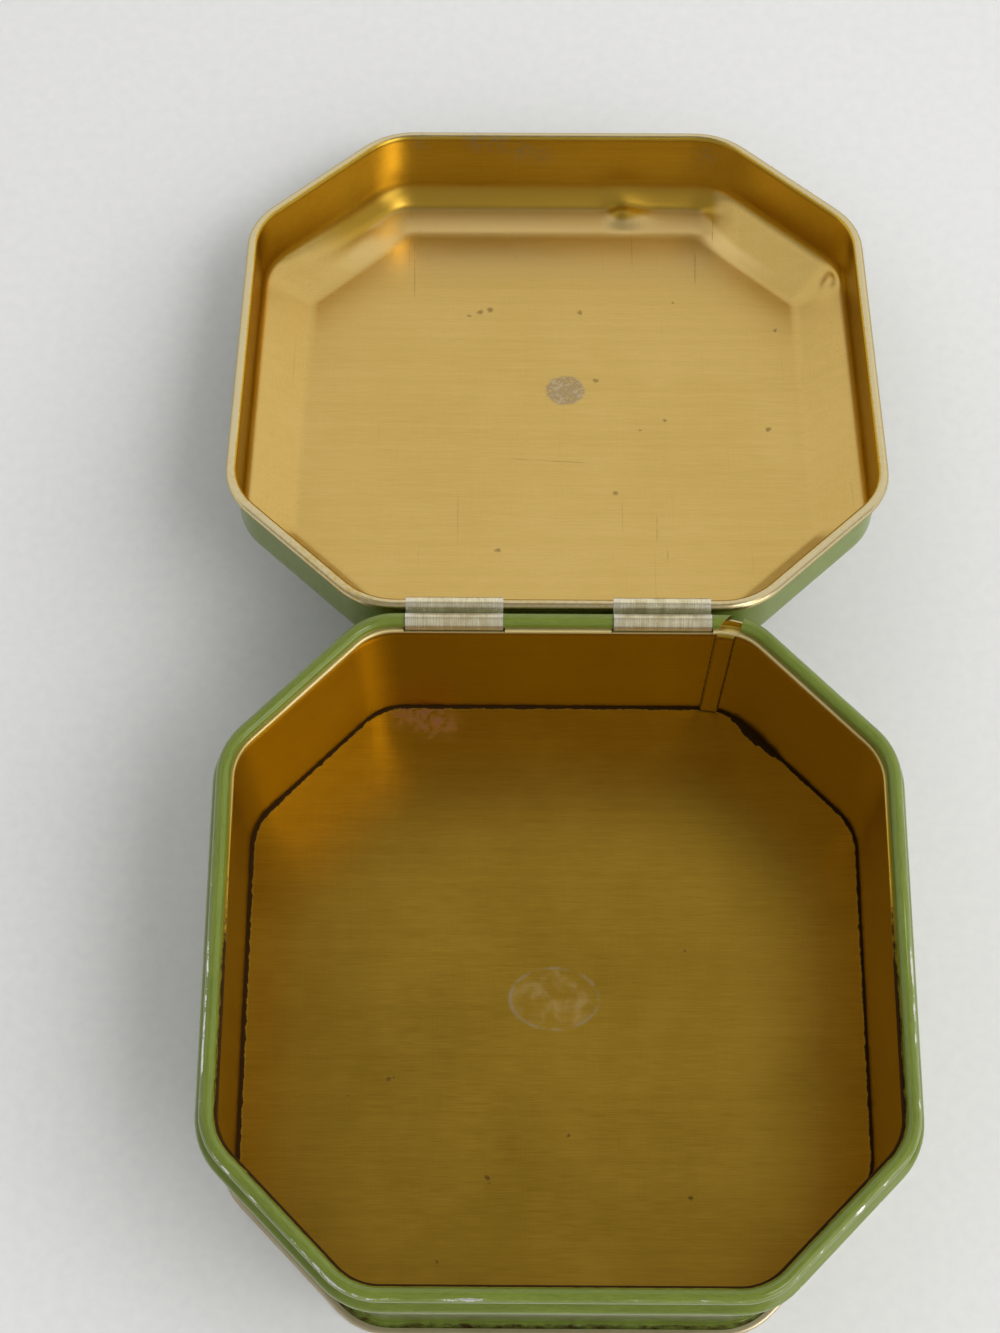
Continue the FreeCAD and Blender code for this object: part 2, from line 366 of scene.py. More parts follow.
def base_finish():
    """Gold floor with a ring stain, specks and packed dirt at its edge; pale gold on the hem and below."""
    material, shader, place = new_finish("gold_lacquered_tinplate")
    tone, roughness, lines = gold_lacquer(place)
    inside = place.attribute("inside").ramp(0.4, 0.6)
    pale = place.noise((0.25, 0.25, 0.25), 4.0).mix(hem_deep, hem_light)
    colour = inside.mix(pale, tone.mix(floor_deep, floor_light))

    ring = place.vector("MULTIPLY", (1.0, ring_squash, 1.0)).measure("LENGTH")
    broken = place.noise((0.35, 0.35, 0.35), 4.0)
    ring_line = abs(ring - ring_radius).ramp(0.55, 0.1) * broken.ramp(0.35, 0.6)
    ring_inside = ring.ramp(ring_radius + 0.3, ring_radius - 0.8) * broken.ramp(0.42, 0.7) * 0.5
    colour = (ring_line.either(ring_inside) * 0.5).mix(colour, ring_colour)

    specks = place.spots(floor_specks, 0.25)
    colour = (specks * 0.85).mix(colour, speck_colour)
    rust = place.spots(rust_spots, 1.7) * place.noise((0.8, 0.8, 0.8), 4.0).ramp(0.34, 0.60)
    colour = (rust * 0.8).mix(colour, rust_colour)

    ragged = place.noise((0.7, 0.7, 0.7), 4.0, 0.65)
    leftward = place.axes()[0].ramp(-40.0, -48.0)
    dirt = (place.attribute("dirt") + (ragged - 0.5) * 0.9 + leftward * 0.22).ramp(0.46, 0.70)
    lump = place.strokes(dirt_lumps, 1.1).either(place.strokes(dirt_heap, 1.6))
    crumbs = place.noise((1.3, 1.3, 1.3), 4.0, 0.7)
    dirt = dirt.either((lump + (crumbs - 0.5) * 0.9).ramp(0.50, 0.66) * inside)
    colour = dirt.mix(colour, dirt_colour)
    bare = place.attribute("wear") + (ragged - 0.5) * 1.2
    colour = (bare.ramp(0.75, 1.0) * (1 - inside)).mix(colour, hem_bare)

    relief = lines * 0.5 + dirt * 2.0 + specks
    place.feed(shader, {"Base Color": colour,
                        "Metallic": 1 - dirt.either(specks * 0.8).either(rust * 0.25),
                        "Roughness": (roughness + ring_inside * 0.2 + rust * 0.2).either(dirt * 0.95),
                        "Coat Weight": inside * (1 - dirt) * 0.05, "Coat Roughness": 0.3,
                        "Specular IOR Level": 0.15, "Specular Tint": gold_edge,
                        "Normal": relief.bump(0.35, 0.03)})
    return material


def floor_shape(x, y):
    """The floor's slight bow: two slow waves that die away towards the wall."""
    fade = np.clip(1 - (np.maximum(np.abs(x), np.abs(y)) / half_inside) ** 4, 0, 1)
    return floor_warp * fade * (np.cos(x / 21 + 0.6) * np.cos(y / 17 - 0.4) + 1)


hem_line = bent_line([(edge_start, half_thick), (hem_outer - half_thick, half_thick),
                      (hem_outer - half_thick, hem_top - half_thick),
                      (hem_outer - hem_width, hem_top - half_thick)], [hem_fold, hem_fold])
floor_edge = np.column_stack([np.linspace(edge_start, edge_end, edge_rows), np.full(edge_rows, half_thick)])
hem_line = np.vstack([floor_edge, hem_line[1:]])
floor_left, floor_right = faces_of(hem_line, sheet_thick)
floor_rings = np.linspace(0.02, 0.985, 30)
grid, quads, caps = round_disc(floor_left, floor_right, floor_rings, floor_shape)
rings = len(floor_rings)
columns = grid.shape[1]
on_left = (np.arange(len(grid)) < rings + len(floor_left)).astype(float)
outward = down_rows(disc_middle, floor_left[:, 0], floor_right[:, 0], rings)
packed = np.clip(1.0 + outward, 0, 1) * on_left
hem_rub = np.clip((outward - hem_outer + 0.5) / 0.5, 0, 1) * (1 - on_left)
base_shell = shell(grid, quads, caps, sheet=grid.reshape(-1, 3) * np.array([1, 1, 0]),
                   inside=np.repeat(on_left, columns), dirt=np.repeat(packed, columns),
                   wear=np.repeat(hem_rub, columns))
base_plate = add_piece("base_plate_finish", [base_shell], base_finish())
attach(base_plate, "box")
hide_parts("base_plate")

# Body wall: one strip of tinplate, lacquered gold inside and printed green outside, bent round the
# octagon and closed by a lock seam in the back right corner. A ridge is rolled out below the rim for
# the lid to sit on, and the rim itself turns in, back out along a ledge, and up into a hollow bead.
wall_foot = 0.5
foot_reach = 1.95
foot_points = 8
ridge_low = 32.65
ridge_rise = 1.1
ridge_high = 34.645
ridge_out = 2.05
lip_in = -1.25
lip_foot = 36.55
ledge_height = 37.15
lip_top = ledge_height - 0.2
wall_bends = (0.7, 1.0, 0.42, 0.55, 0.28)
ledge_bend = 0.19
bead_at = 0.1
bead_round = 0.95
bead_middle = ledge_height + bead_round
bead_wrap = 298
bead_opening = 42
strap_middle = 15.765
slot_half = 7.7
notch_right = 27.765
notch_left = 24.365
notch_slant = 0.85
flap_bends = (0.2, 0.5)
seam_right = 27.365
seam_left = 24.165
seam_proud = 0.55
seam_shoulder = 4.5
seam_sunk = 0.02
seam_back = -0.12
seam_under_ridge = ridge_out - 0.5


def back_station(x):
    """How far round the plan the point with this x lies on its back half, where x falls steadily."""
    back = (plan[:, 3] > np.radians(50)) & (plan[:, 3] < np.radians(130))
    return np.interp(-x, -plan[back, 1], plan[back, 0])


def span(start, end):
    """The plan's own stations between two places, with the two places themselves."""
    several = np.concatenate([all_round, all_round + plan_length])
    between = several[(several > start + 0.01) & (several < end - 0.01)]
    return np.concatenate([[start], between, [end]])


def roll(start, sweep, steps):
    """The bead's round: points at its radius about its middle, from one angle through the sweep."""
    angle = np.radians(np.linspace(start, start + sweep, steps))
    return np.stack([bead_at + bead_round * np.cos(angle), bead_middle + bead_round * np.sin(angle)], -1)


def strip_quads(rows, columns):
    """Quads of a strip whose loop goes up one face and back down the other, with both of its ends closed by
    quads from face to face."""
    step = np.arange(columns // 2 - 1)
    end = np.stack([step, step + 1, columns - 2 - step, columns - 1 - step], -1)
    sides = grid_quads(rows, columns, False, True)
    return np.concatenate([sides, end[:, ::-1], end + (rows - 1) * columns])


def bent_sheet(line, stations, wrap, **rules):
    """A bent sheet carried along the plan. Its loop runs up the left face and back down the right one, and
    its ends are closed where it doesn't go all the way round. Each rule gives a value for every point."""
    left, right = faces_of(line, sheet_thick)
    loop = np.vstack([left, right[::-1]])
    points = carried(loop, stations)
    rows, columns = points.shape[:2]
    quads = grid_quads(rows, columns, True, True) if wrap else strip_quads(rows, columns)
    run = run_along(line)
    across = np.concatenate([run, run[::-1]]) + line[0, 1]
    sheet = np.stack([np.repeat(stations, columns), np.tile(across, rows), np.zeros(rows * columns)], -1)
    inside = np.tile(np.repeat([1.0, 0.0], len(line)), rows)
    outward = np.tile(loop[:, 0], rows)
    up = np.tile(loop[:, 1], rows)
    backward = points[..., 1].ravel() / half_inside
    values = {name: rule(outward, up, inside, backward) for name, rule in rules.items()}
    return shell(points, quads, sheet=sheet, inside=inside, **values)


def hump(away, width):
    """A smooth hump: 1 in its middle, and exp(-(away / width)^2) at a distance from it."""
    return np.exp(-(away / width) ** 2)


def wall_wear(outward, up, inside, backward):
    """Paint rubs off where the wall stands out most: the crest of the ridge and the outer top of the bead
    outside, mostly in front. Inside, the fold of the lip has worn lacquer and a painted highlight, mostly
    behind, below the hinge."""
    ridge = hump(outward - ridge_reach, 0.25) * 0.75
    bead = hump(outward - bead_at - 0.75, 0.30) * (up > ledge_height + 1.0)
    bead = bead * (1 - 0.6 * np.clip(backward * 1.5, 0, 1))
    lip = hump(outward - lip_in, 0.6) * (up > lip_foot - 0.3)
    lip = lip * np.clip(backward * 2.0 - 0.6, 0, 1)
    return np.maximum(ridge, bead) * (1 - inside) + lip * inside


def foot_dirt_and_shade(up):
    """Darkening in the crease at the wall's foot, dirt inside and painted shade outside above the hem: whole
    up to 0.2 mm and thinning out to none at 1.8 mm.
    """
    return np.clip(1.15 - up * 0.65, 0, 1)


def wall_dirt_and_shade(outward, up, inside, backward):
    """Darker at the foot of the wall: dirt inside, painted shade outside above the hem. The fold of the lip
    is painted in shade from the sides round the front; behind, below the hinge, it is not."""
    # Painted shade in the fold of the lip, from the sides round the front.
    lip = hump(outward - lip_in, 0.5) * (up > lip_foot - 0.3)
    lip = lip * np.clip(0.85 - backward, 0, 1)
    return np.maximum(foot_dirt_and_shade(up), lip)


gold_light = (0.64, 0.435, 0.050, 1)
gold_deep = (0.53, 0.345, 0.028, 1)
green_light = (0.170, 0.228, 0.030, 1)
green_deep = (0.082, 0.113, 0.013, 1)
green_thin = (0.34, 0.42, 0.18, 1)
green_scuffed = (0.42, 0.50, 0.30, 1)
bare_tin = (0.86, 0.85, 0.81, 1)
cut_tin = (0.60, 0.50, 0.26, 1)
drag_colour = (0.40, 0.25, 0.06, 1)
blush_colour = (0.36, 0.11, 0.06, 1)
# Painted highlight colour for the fold of the lip, over its worn lacquer.
lip_highlight_gold = (0.80, 0.69, 0.34, 1)
wall_blush = ((back_station(-21.5), 2.2, 0.0, 2.6),)


def wall_finish():
    """Gold inside, with worn lacquer and a painted highlight on the lip's fold, and painted shade on the lip
    at the sides and front and outside at the foot; outside green print over tin, rubbed to bare metal in
    dashes along its crests.
    """
    material, shader, place = new_finish("green_printed_tinplate")
    tone, gold_rough, lines = gold_lacquer(place)
    gold = tone.mix(gold_deep, gold_light)
    inside = place.attribute("inside").ramp(0.4, 0.6)
    cut_edge = abs(place.attribute("inside") - 0.5).ramp(0.49, 0.40)
    wear = place.attribute("wear")
    mottle = place.noise((0.12, 0.5, 0.5), 4.0)
    fleck = place.noise((0.5, 5.0, 5.0), 3.0, 0.7)
    green = (mottle * 0.4 + fleck * 0.6).ramp(0.1, 0.9).mix(green_deep, green_light)

    dashes = place.noise((0.16, 0.7, 0.7), 4.0, 0.6)
    chips = place.noise((1.2, 2.6, 2.6), 3.0, 0.7)
    rubbed = wear * 0.6 + (dashes - 0.5) * 1.7 + (chips - 0.5) * 0.5
    rubbed = rubbed.ramp(0.66, 0.70)
    halo = (wear * 0.6 + (dashes - 0.5) * 1.2).ramp(0.35, 0.7)
    green = (halo * 0.3).mix(green, green_thin)
    scuffs = place.noise((0.05, 2.6, 2.6), 2.0).ramp(0.70, 0.78) * 0.5
    green = scuffs.mix(green, green_scuffed)
    outer = cut_edge.mix(rubbed.mix(green, bare_tin), cut_tin)

    drag = place.noise((2.4, 0.05, 0.05), 3.0).ramp(0.66, 0.76) * 0.25
    gold = drag.mix(gold, drag_colour)
    blush = place.spots(wall_blush, 1.6) * place.noise((0.7, 0.7, 0.7), 4.0).ramp(0.4, 0.62)
    gold = (blush * 0.5).mix(gold, blush_colour)
    # Worn lacquer and a painted highlight: the lip's fold turns pale gold and less metallic, mostly behind.
    lip = wear * inside
    gold = (lip * (0.45 + dashes * 0.7)).mix(gold, lip_highlight_gold)
    colour = (inside * (1 - cut_edge)).mix(outer, gold)
    ragged = place.noise((0.5, 0.9, 0.9), 4.0, 0.65)
    # The dirt value darkens the wall: dirt at the foot inside, painted shade outside at the foot, in the
    # lip's fold and along the seam's edges.
    dirt = (place.attribute("dirt") + (ragged - 0.5) * 0.7).ramp(0.62, 0.85)
    colour = dirt.mix(colour, dirt_colour)

    metal = inside.either(rubbed.either(cut_edge)) * (1 - dirt) * (1 - lip * 0.45)
    paint_rough = 0.34 + (fleck - 0.5) * 0.25 + scuffs * 0.3
    rough = metal * (gold_rough - paint_rough) + paint_rough
    relief = lines * 0.4 * inside + (1 - inside) * (fleck * 0.5 - rubbed * 1.5) + dirt * 2.0
    place.feed(shader, {"Base Color": colour, "Metallic": metal, "Roughness": rough.either(dirt * 0.95),
                        "Coat Weight": (0.8 - inside * 0.7) * (1 - dirt), "Coat Roughness": 0.08,
                        "Specular IOR Level": 0.3, "Specular Tint": gold_edge,
                        "Normal": relief.bump(0.35, 0.03)})
    return material


wall_line = bent_line([(foot_reach, wall_foot), (half_thick, wall_foot), (half_thick, ridge_low),
                       (ridge_out, ridge_low + ridge_rise), (ridge_out, ridge_high), (lip_in, lip_foot),
                       (lip_in, lip_top)], wall_bends)
wall_run = np.column_stack([np.full(9, half_thick), np.linspace(4, 31, 9)])
wall_line = np.vstack([wall_line[:foot_points], wall_run, wall_line[foot_points:]])
ledge_turn = bent_line([(lip_in, lip_top), (lip_in, ledge_height), (bead_at, ledge_height)], [ledge_bend])
rim_line = np.vstack([ledge_turn[:-1], roll(-90, bead_wrap, 30)])
looped_line = roll(-90 + bead_opening, bead_wrap - bead_opening, 26)
flap_line = bent_line([(lip_in + 0.1, lip_foot), (lip_in + 0.1, ledge_height - 0.25),
                       (bead_at, ledge_height - 0.4), (bead_at + 0.35, ledge_height + 1.0)], flap_bends)
wall_rules = {"wear": wall_wear, "dirt": wall_dirt_and_shade}
wall_parts = [bent_sheet(wall_line, all_round, True, **wall_rules)]
slot_places = [back_station(x) for x in (strap_middle + slot_half, strap_middle - slot_half,
                                         slot_half - strap_middle, -slot_half - strap_middle)]
places = [back_station(notch_left)] + slot_places + [back_station(notch_right) + plan_length]
rim_lines = [rim_line, looped_line, rim_line, looped_line, rim_line]
for line, start, end in zip(rim_lines, places, places[1:]):
    wall_parts.append(bent_sheet(line, span(start, end), False, **wall_rules))

# The bead's end at the notch is cut at a slant, and a flap of the ledge is left standing in the notch.
bead_end = wall_parts[1]["points"][:2 * len(rim_line)]
above_ledge = bead_end[:, 2] > ledge_height + 0.2
bead_end[:, 0] += np.clip(bead_end[:, 1] - half_inside + notch_slant, 0, None) * above_ledge
notch = span(back_station(notch_right), back_station(notch_left))
wall_parts.append(bent_sheet(flap_line, notch, False, **wall_rules))


def lock_seam(stations, path):
    """The folded strip of the seam: at each step up the wall's inner face, a flat-topped bump with rounded
    shoulders that stands inwards, closed behind inside the wall."""
    share = np.abs(np.linspace(-1, 1, len(stations)))
    bump = seam_proud * np.clip((1 - share) * seam_shoulder, 0, 1) ** 0.7 - seam_sunk
    both = np.concatenate([stations, stations[::-1]])
    stand = np.concatenate([bump, np.full(len(stations), seam_back)])
    x, y, turned = on_plan(both)
    outward = path[:, :1] - stand
    points = np.stack([x + outward * np.cos(turned), y + outward * np.sin(turned),
                       np.broadcast_to(path[:, 1:], outward.shape)], -1)
    rows, columns = points.shape[:2]
    sheet = np.stack([np.tile(both, rows), np.repeat(path[:, 1], columns), np.zeros(rows * columns)], -1)
    # Painted shade along both edges of the seam's strip, carried in its dirt value with the dirt at its foot.
    crease = np.clip((np.tile(share, 2 * rows) - 0.60) / 0.36, 0, 1) * 0.82
    return shell(points, strip_quads(rows, columns), sheet=sheet, inside=1.0, wear=0.0,
                 dirt=np.maximum(foot_dirt_and_shade(sheet[:, 1]), crease))


seam_path = bent_line([(0.0, 0.75), (0.0, ridge_low), (seam_under_ridge, ridge_low + 1.0),
                       (seam_under_ridge, ridge_high - 0.3)], [1.0, 0.4])
wall_parts.append(lock_seam(np.linspace(back_station(seam_right), back_station(seam_left), 29), seam_path))
body_wall = add_piece("body_wall_finish", wall_parts, wall_finish())
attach(body_wall, "box")
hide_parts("body_wall")

# Hinge straps: two short strips of plain tinplate. Each is rolled round the bead of the body at one end
# and round the curled rim of the lid at the other, so the rims themselves are the hinge's two pins.
bead_pivot = np.array(frame["joints"][0]["pos_m"][1:]) / MM
rim_pivot = np.array(frame["joints"][1]["pos_m"][1:]) / MM
strap_width = 14.8
strap_on_bead = 1.3
strap_on_rim = 1.1
strap_end = 62
strap_wrap = 280
strap_edge = 0.04
strap_thinning = 0.05
strap_light = (1.0, 0.95, 0.70, 1)
strap_deep = (0.66, 0.58, 0.34, 1)
varnish_colour = (0.64, 0.53, 0.27, 1)
# Painted shade colour for the straps.
strap_shade_colour = (0.17, 0.13, 0.07, 1)
pit_colour = (0.13, 0.10, 0.06, 1)
strap_bare = (0.82, 0.80, 0.75, 1)


def strap_line():
    """The strap from the side: round the bead from its free end to where a straight run leaves it, which
    touches both rounds on opposite sides, then the other way about the lid's rim."""
    gap = rim_pivot - bead_pivot
    toward = np.degrees(np.arctan2(gap[1], gap[0]))
    lean = np.degrees(np.arccos((strap_on_bead + strap_on_rim) / np.hypot(*gap)))
    leave = 360 + toward - lean
    on_bead = np.radians(np.linspace(strap_end, leave, 40))
    on_rim = np.radians(np.linspace(leave - 180, leave - 180 - strap_wrap, 40))
    return np.vstack([bead_pivot + strap_on_bead * np.stack([np.cos(on_bead), np.sin(on_bead)], -1),
                      rim_pivot + strap_on_rim * np.stack([np.cos(on_rim), np.sin(on_rim)], -1)])


def strap_shell(middle):
    """The strap's two faces, carried from its left side to its right and thinned a little at both, which are
    closed face to face. Painted shade darkens its free end, the valley between the rounds and the second
    round."""
    line = strap_line()
    left, right = faces_of(line, sheet_thick)
    loop = np.vstack([left, right[::-1]])
    across = np.linspace(-0.5, 0.5, 25)
    to_edge = np.clip((np.abs(across) - 0.5 + strap_edge) / strap_edge, 0, 1)
    draw_in = 1 - strap_thinning * to_edge ** 2
    centre = np.vstack([line, line[::-1]])
    section = centre + (loop - centre) * draw_in[:, None, None]
    along_hinge = middle + across * strap_width
    x = np.broadcast_to(along_hinge[:, None, None], section.shape[:2] + (1,))
    points = np.concatenate([x, section], -1)
    rows, columns = points.shape[:2]
    run = run_along(line)
    sheet = np.stack([np.repeat(along_hinge, columns), np.tile(np.concatenate([run, run[::-1]]), rows),
                      np.zeros(rows * columns)], -1)
    side = np.repeat(np.abs(across) * 2, columns)
    on_rim = np.arange(len(line)) >= len(line) // 2
    valley = hump(run - run[on_rim][0] + 0.9, 0.8)
    darkening = np.clip(1.0 - run / 0.9, 0, 1) + valley + 0.3 * on_rim
    return shell(points, strip_quads(rows, columns), sheet=sheet, wear=side ** 6,
                 inside=np.tile(np.repeat([1.0, 0.0], len(line)), rows),
                 dirt=np.tile(np.concatenate([darkening, darkening[::-1]]), rows))


def strap_finish():
    """Plain tinplate, rubbed bright, with drawn lines along the strip, remains of a yellow varnish, and
    painted shade at its free end, between its rounds and on its second round.
    """
    material, shader, place = new_finish("worn_tinplate")
    lines = place.noise((7.5, 0.12, 0.5), 2.0, 0.6)
    darkening = place.noise((0.55, 0.35, 0.5), 4.0, 0.6)
    colour = lines.ramp(0.3, 0.7).mix(strap_deep, strap_light)
    colour = (darkening.ramp(0.42, 0.64) * 0.6).mix(colour, varnish_colour)
    # Painted shade from the strap's dirt value: its free end, the valley between the rounds and the second
    # round.
    strap_shade = place.attribute("dirt") + (darkening - 0.5) * 0.5
    colour = (strap_shade.ramp(0.15, 1.0) * 0.8).mix(colour, strap_shade_colour)
    pits = place.noise((1.6, 1.6, 1.6), 4.0, 0.7).ramp(0.62, 0.72)
    colour = (pits * 0.55).mix(colour, pit_colour)
    colour = (place.attribute("wear") * 0.5).mix(colour, strap_bare)
    roughness = 0.22 + (lines - 0.5) * 0.2 + pits * 0.3
    place.feed(shader, {"Base Color": colour, "Metallic": 0.80 - pits * 0.3, "Roughness": roughness,
                        "Normal": (lines * 0.4 - pits).bump(0.25, 0.02)})
    return material


for node, middle in (("left_hinge_strap", -strap_middle), ("right_hinge_strap", strap_middle)):
    strap = add_piece(node + "_finish", [strap_shell(middle)], strap_finish())
    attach(strap, "straps")
    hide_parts(node)

# Lid: one drawn piece of tinplate, green outside and gold lacquered inside. A flat panel steps down over
# a sloping border to the skirt, whose edge is curled outwards into a round rim. It lies open on its back
# behind the box, with two dents in its far border and the wear of many years.
rim_out = 2.3
rim_round = 0.75
skirt_out = rim_out - rim_round
shoulder = (skirt_out, 10.3)
border_in = (-6.85, 14.9)
border_points = 10
curl_wrap = 292
curl_opening = 32
lid_slot = 1.9
panel_warp = 0.16
border_set = 1.85
tent_share = (0, 0.24, 0.31, 0.38, 0.87, 0.935, 1, 1.065, 1.13)
tent_height = (0, 0.77, 0.95, 0.90, 0.188, 0.106, 0.047, 0.012, 0)
knock_x, knock_y = 11.8, -47.0
knock_height = 0.95
corner_knock_x, corner_knock_y = 48.4, -27.6
corner_knock_height = 0.8
lid_lean = np.radians(frame["joints"][1]["range_deg"][1] + frame["joints"][0]["range_deg"][0] - 180)


def opened(points):
    """The lid turned back: places measured from its rim's middle swing half a turn and its lean, about X."""
    x, y, z = np.moveaxis(points, -1, 0)
    reach = half_inside + rim_out - y
    return np.stack([x, rim_pivot[0] + reach * np.cos(lid_lean) - z * np.sin(lid_lean),
                     rim_pivot[1] - reach * np.sin(lid_lean) - z * np.cos(lid_lean)], -1)


def dented(points, share):
    """The border's outer part falls more steeply along the far side and the corner to its left: a tent over
    its share of the way in. Two knocks stand inwards as rounded humps, the first with one sharp side, and
    the panel has a slow bow."""
    x, y, z = np.moveaxis(points, -1, 0)
    far = np.clip((-y - 30) / 13, 0, 1) ** 0.7 * np.clip((33.0 - x) / 6.0, 0, 1)
    steeper = border_set * far * np.interp(share, tent_share, tent_height)
    on_border = np.interp(share, [0, 0.15, 0.75, 1], [0, 1, 1, 0])
    across = x - knock_x
    crease = hump(across, np.where(across < 0, 1.1, 4.2))
    knock = knock_height * crease * hump(y - knock_y, 2.4)
    aside = x - corner_knock_x
    corner = corner_knock_height * hump(aside, 1.3) * hump(y - corner_knock_y + aside * 0.5, 1.7)
    middle = np.clip(1 - (np.maximum(np.abs(x), np.abs(y)) / 42) ** 4, 0, 1)
    bow = panel_warp * middle * np.cos(x / 19 + 0.3) * np.cos(y / 23 - 0.5)
    return np.stack([x, y, z + steeper - on_border * (knock + corner) + bow], -1)


def lid_part(points, quads, caps, share, **values):
    """A skin of the lid, with the sheet's own place kept from before it was opened."""
    points = dented(points, share)
    return shell(opened(points), quads, caps, sheet=points.reshape(-1, 3), **values)


panel_light = (0.74, 0.515, 0.165, 1)
panel_deep = (0.64, 0.430, 0.115, 1)
# Painted shade: the skirt gets a darker, more saturated copy of the panel's gold.
shaded_skirt_light = (0.67, 0.440, 0.055, 1)
shaded_skirt_deep = (0.55, 0.345, 0.032, 1)
# Painted highlight: a paler gold for the inner far border and the panel's far end.
far_end_highlight_gold = (0.90, 0.66, 0.27, 1)
# Painted shade: a darker amber for the outer band of the far border.
far_border_shade_gold = (0.56, 0.34, 0.040, 1)
spot_light = (0.52, 0.42, 0.26, 1)
spot_deep = (0.31, 0.23, 0.14, 1)
lid_speck_colour = (0.12, 0.07, 0.02, 1)
scratch_colour = (0.16, 0.10, 0.03, 1)
grit_colour = (0.42, 0.28, 0.08, 1)
rubbed_gold = (0.72, 0.63, 0.40, 1)
scuff_grey = (0.40, 0.37, 0.33, 1)
panel_height = 14.8
far_skirt = -50.8
worn_spot = ((1.9, -5.2, panel_height, 3.3),)
lid_specks = [(x, y, panel_height, radius) for x, y, radius in (
    (-9.4, 29.6, 0.45), (10.0, 17.5, 0.4), (36.2, 3.6, 0.5), (4.7, -23.3, 0.4), (18.8, 1.5, 0.35),
    (-12.9, -23.4, 0.6), (-11.2, -23.9, 0.5), (-14.8, -22.6, 0.3), (7.2, -7.4, 0.45), (38.8, -19.4, 0.35),
    (21.1, -25.8, 0.25), (14.5, 3.7, 0.25))]
lid_scratches = ((25.6, -38.9, 25.2, -29.5), (29.0, -46.5, 28.7, -39.7), (-24.9, -41.1, -24.5, -26.3),
                 (16.8, 21.5, 16.6, 28.4), (-6.8, -38.2, -6.4, -35.7), (18.4, 28.4, 18.2, 32.5),
                 (-8.0, 10.0, 6.0, 11.0))
skirt_scuffs = [(x, far_skirt, z, radius) for x, z, radius in (
    (27.4, 3.0, 1.4), (-23.6, 0.5, 1.2), (-14.0, 0.4, 1.8), (-10.0, 1.0, 1.8), (-5.5, 2.4, 2.2),
    (-2.0, 3.2, 1.8))]


def lid_finish():
    """Gold inside, with painted shade on the skirt and on the far border's outer band, a painted highlight on
    the inner far border and the panel's far end, one worn round spot, specks, scratches and rubbed rim; green
    print outside.
    """
    material, shader, place = new_finish("green_printed_lid")
    tone, gold_rough, lines = gold_lacquer(place)
    across, backward, depth = place.axes()
    # Painted shade: a darker amber band over the outer part of the far border.
    far_border_shade = backward.ramp(-34.0, -42.0) * across.ramp(30.5, 28.5) * depth.ramp(13.75, 13.25)
    # Painted highlight: a paler gold over the inner far border and the far end of the panel.
    far_end_highlight = backward.ramp(-30.0, -40.0) * depth.ramp(13.2, 13.9)
    panel = (far_end_highlight * 0.8).mix(tone.mix(panel_deep, panel_light), far_end_highlight_gold)
    # Painted shade: the skirt's gold is a darker copy of the panel's, for the lid's walls.
    skirt = tone.mix(shaded_skirt_deep, shaded_skirt_light)
    gold = depth.ramp(9.6, 10.6).mix(skirt, far_border_shade.mix(panel, far_border_shade_gold))
    inside = place.attribute("inside").ramp(0.4, 0.6)
    torn = place.noise((1.3, 1.3, 1.3), 4.0, 0.7)

    spot = place.spots(worn_spot, 0.35) * torn.ramp(0.30, 0.48)
    gold = (spot * 0.85).mix(gold, torn.ramp(0.4, 0.65).mix(spot_deep, spot_light))
    specks = place.spots(lid_specks, 0.22)
    gold = (specks * 0.62).mix(gold, lid_speck_colour)
    scratch = place.strokes(lid_scratches, 0.13) * place.noise((0.2, 0.8, 0.2), 3.0).ramp(0.34, 0.5)
    gold = (scratch * 0.42).mix(gold, scratch_colour)
    fine = place.noise((1.9, 0.035, 0.035), 2.0).ramp(0.70, 0.76)
    grit = place.noise((3.4, 3.4, 3.4), 3.0, 0.7).ramp(0.60, 0.70)
    gold = (fine.either(grit) * 0.3).mix(gold, grit_colour)
    rim_band = place.attribute("wear")
    patches = place.noise((0.09, 0.09, 0.3), 3.0)
    rubbed = (rim_band * 0.9 + (torn - 0.5) * 0.7 + patches * 0.4).ramp(0.65, 1.05)
    gold = (rubbed * 0.85).mix(gold, rubbed_gold)
    scuff = place.spots(skirt_scuffs, 1.6) * place.noise((0.9, 0.9, 3.0), 5.0, 0.75).ramp(0.46, 0.58)
    gold = (scuff * 0.7).mix(gold, scuff_grey)

    mottle = place.noise((0.10, 0.5, 0.5), 4.0)
    fleck = place.noise((0.8, 3.0, 3.0), 3.0, 0.7)
    green = (mottle * 0.35 + fleck * 0.65).ramp(0.05, 0.85).mix(green_deep, green_light)
    stretches = place.noise((0.06, 0.06, 0.3), 3.0)
    worn = (place.attribute("dirt") * 0.5 + (torn - 0.5) * 1.1 + (stretches - 0.5) * 1.5).ramp(0.62, 0.72)
    green = worn.mix(green, bare_tin)
    colour = inside.mix(green, gold)
    metal = inside.either(worn)
    paint_rough = 0.34 + (fleck - 0.5) * 0.25
    rough = metal * (gold_rough + spot * 0.15 - rim_band * 0.1 - paint_rough) + paint_rough
    relief = lines * 0.4 * inside - scratch * 1.5 - specks + (1 - inside) * (fleck * 0.5 - worn * 1.5)
    place.feed(shader, {"Base Color": colour, "Metallic": metal - (specks * 0.45).either(spot * 0.3) * inside,
                        "Roughness": rough, "Coat Weight": 0.35 - inside * 0.25, "Coat Roughness": 0.15,
                        "Specular IOR Level": 0.3, "Specular Tint": gold_edge,
                        "Normal": relief.bump(0.35, 0.03)})
    return material


